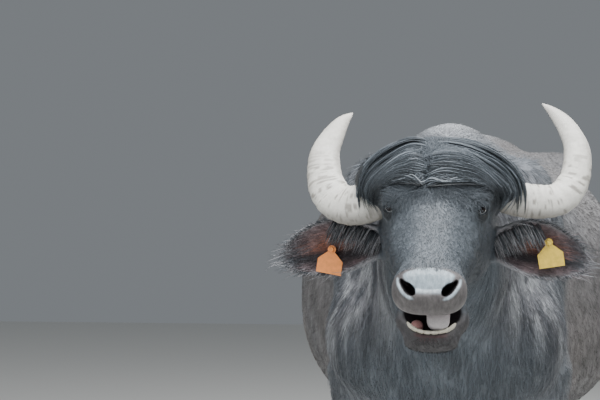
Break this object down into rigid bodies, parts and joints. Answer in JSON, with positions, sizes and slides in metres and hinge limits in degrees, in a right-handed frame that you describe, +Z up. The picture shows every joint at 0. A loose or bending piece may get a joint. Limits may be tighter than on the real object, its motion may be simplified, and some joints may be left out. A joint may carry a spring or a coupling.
{
  "type": "water buffalo",
  "caption": "Life-size standing water buffalo with crescent horns, open mouth, drooping ears with tags, shaggy forelock, cloven hooves and hanging tail.",
  "frame": {"origin": "on the floor, at the middle of the bounding box", "axes": "+Z up; -Y the way the animal faces; +X the animal's left side"},
  "size_m": [0.8866, 2.3386, 1.433],
  "materials": {
    "coat": "short slate-grey hair over dark hide",
    "long_hair": "coarse dark grey hair in locks",
    "muzzle": "bare moist grey skin",
    "tongue": "moist",
    "eye": "glossy dark brown",
    "ear": "short hair, bare brown skin inside",
    "horn": "ringed pale grey keratin",
    "hoof": "dull dark keratin",
    "tag_yellow": "smooth, satin",
    "tag_orange": "smooth, satin",
    "udder": "bare skin"
  },
  "bodies": {
    "root": {"torso": "coat", "neck": "coat", "head": "coat", "lower_jaw": "muzzle", "tongue": "tongue", "eye_left": "eye", "eye_right": "eye", "ear_left": "ear", "ear_right": "ear", "horn_left": "horn", "horn_right": "horn", "forelock": "long_hair", "ear_tag_left": "tag_yellow", "ear_tag_right": "tag_orange", "foreleg_left": "coat", "foreleg_right": "coat", "hindleg_left": "coat", "hindleg_right": "coat", "foreleg_left_outer_claw": "hoof", "foreleg_left_inner_claw": "hoof", "foreleg_right_outer_claw": "hoof", "foreleg_right_inner_claw": "hoof", "hindleg_left_outer_claw": "hoof", "hindleg_left_inner_claw": "hoof", "hindleg_right_outer_claw": "hoof", "hindleg_right_inner_claw": "hoof", "tail": "coat", "tail_switch": "long_hair", "udder": "udder"}
  },
  "joints": []
}
